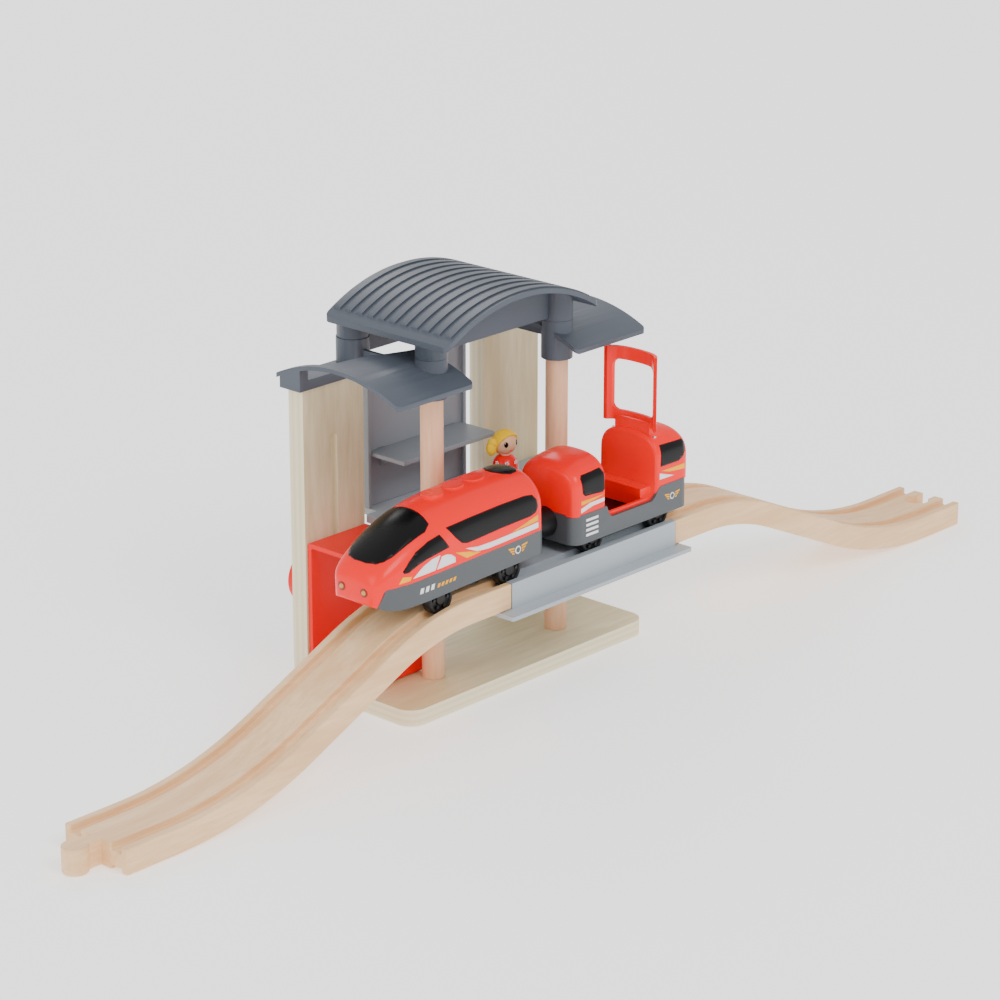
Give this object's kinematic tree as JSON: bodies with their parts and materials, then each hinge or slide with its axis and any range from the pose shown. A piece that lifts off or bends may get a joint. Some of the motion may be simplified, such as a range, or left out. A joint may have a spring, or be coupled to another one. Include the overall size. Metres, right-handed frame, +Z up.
{
  "type": "wooden train station set",
  "caption": "Toy station with a hand lift, raised platform and curved roofs, two wooden track ramps, a battery locomotive, an open passenger wagon and a small figure.",
  "frame": {"origin": "centre of the station base's underside, on the floor", "axes": "+X along the track towards the wagon's end, +Y from the track to the station's back, +Z up"},
  "size_m": [0.6185, 0.1202, 0.1935],
  "materials": {
    "beech": "sanded beech with clear coat",
    "plywood": "plywood",
    "roof_grey": "moulded dark grey",
    "light_grey": "moulded light grey",
    "red": "moulded red",
    "skirt_grey": "moulded grey",
    "black": "black",
    "steel": "plain",
    "lamp": "amber",
    "board": "green laminate",
    "skin": "painted",
    "yellow": "painted",
    "cell": "plain sleeve",
    "brass": "turned",
    "nylon": "nylon"
  },
  "bodies": {
    "station": {"base_plate": "plywood", "base_screws": "steel", "left_panel": "plywood", "right_panel": "plywood", "left_post": "beech", "right_post": "beech", "back_wall": "light_grey", "wall_shelf": "light_grey", "platform": "light_grey", "track_bridge": "light_grey", "left_ramp": "beech", "right_ramp": "beech", "left_roof": "roof_grey", "right_roof": "roof_grey", "main_roof": "roof_grey"},
    "lift": {"lift_cabin": "red", "lift_knob": "red", "lift_screw": "steel"},
    "wagon": {"wagon_body": "red", "wagon_chassis": "skirt_grey", "wagon_floor": "black", "lid_pin": "steel", "wagon_coupler": "black", "wagon_magnet": "steel"},
    "lid": {"wagon_lid": "red"},
    "wagon_front_wheelset": {"wagon_front_axle": "steel", "wagon_front_wheels": "black"},
    "wagon_rear_wheelset": {"wagon_rear_axle": "steel", "wagon_rear_wheels": "black"},
    "loco": {"loco_body": "red", "loco_chassis": "skirt_grey", "loco_screws": "steel", "headlights": "lamp", "windshield": "black", "circuit_board": "board", "battery": "cell", "battery_contacts": "steel", "motor": "steel", "loco_magnet": "steel"},
    "forward_key": {"forward_button": "red"},
    "stop_key": {"stop_button": "red"},
    "reverse_key": {"reverse_button": "red"},
    "pinion": {"motor_pinion": "brass"},
    "loco_front_wheelset": {"loco_front_axle": "steel", "loco_front_wheels": "black"},
    "loco_rear_wheelset": {"loco_rear_axle": "steel", "loco_rear_wheels": "black", "drive_gear": "nylon"},
    "figure": {"figure_body": "red", "figure_head": "skin", "figure_hair": "yellow"}
  },
  "joints": [
    {"name": "lift_slide", "type": "slide", "parent": "station", "child": "lift", "axis": [0, 0, 1], "range_m": [0, 0.072]},
    {"name": "train_roll", "type": "slide", "parent": "station", "child": "wagon", "axis": [1, 0, 0], "range_m": [0, 0.0235]},
    {"name": "loco_pitch", "type": "hinge", "parent": "wagon", "child": "loco", "pos_m": [-0.0355, -0.0417, 0.07055], "axis": [0, 1, 0], "range_deg": [0, 1.8]},
    {"name": "wagon_front_spin", "type": "hinge", "parent": "wagon", "child": "wagon_front_wheelset", "pos_m": [0.0232, -0.0417, 0.07055], "axis": [0, 1, 0], "range_deg": [-200, 200]},
    {"name": "wagon_rear_spin", "type": "hinge", "parent": "wagon", "child": "wagon_rear_wheelset", "pos_m": [0.0715, -0.0417, 0.07055], "axis": [0, 1, 0], "range_deg": [-200, 200]},
    {"name": "loco_front_spin", "type": "hinge", "parent": "loco", "child": "loco_front_wheelset", "pos_m": [-0.08198, -0.0417, 0.06909], "axis": [0, 1, 0], "range_deg": [-200, 200]},
    {"name": "loco_rear_spin", "type": "hinge", "parent": "loco", "child": "loco_rear_wheelset", "pos_m": [-0.0355, -0.0417, 0.07055], "axis": [0, 1, 0], "range_deg": [-200, 200]},
    {"name": "pinion_spin", "type": "hinge", "parent": "loco", "child": "pinion", "pos_m": [-0.0357, -0.0477, 0.0769], "axis": [0, 1, 0], "range_deg": [-300, 300]},
    {"name": "lid_hinge", "type": "hinge", "parent": "wagon", "child": "lid", "pos_m": [0.0714, -0.0417, 0.1085], "axis": [0, 1, 0], "range_deg": [-90, 0]},
    {"name": "figure_lift_off", "type": "slide", "parent": "station", "child": "figure", "axis": [0, 0, 1], "range_m": [0, 0.04]},
    {"name": "forward_press", "type": "slide", "parent": "loco", "child": "forward_key", "axis": [0.0314, 0, -0.9995], "range_m": [0, 0.0006], "stiffness_N_per_m": 400, "springref_m": -0.0006},
    {"name": "stop_press", "type": "slide", "parent": "loco", "child": "stop_key", "axis": [0.0314, 0, -0.9995], "range_m": [0, 0.0006], "stiffness_N_per_m": 400, "springref_m": -0.0006},
    {"name": "reverse_press", "type": "slide", "parent": "loco", "child": "reverse_key", "axis": [0.0314, 0, -0.9995], "range_m": [0, 0.0006], "stiffness_N_per_m": 400, "springref_m": -0.0006}
  ],
  "couplings": [
    {"joint": "loco_pitch", "follows": "train_roll", "rad_per_m": 1.3368},
    {"joint": "wagon_front_spin", "follows": "train_roll", "rad_per_m": 128.21},
    {"joint": "wagon_rear_spin", "follows": "train_roll", "rad_per_m": 128.21},
    {"joint": "loco_front_spin", "follows": "train_roll", "rad_per_m": 128.21},
    {"joint": "loco_rear_spin", "follows": "train_roll", "rad_per_m": 128.21},
    {"joint": "pinion_spin", "follows": "train_roll", "rad_per_m": -192.31}
  ]
}
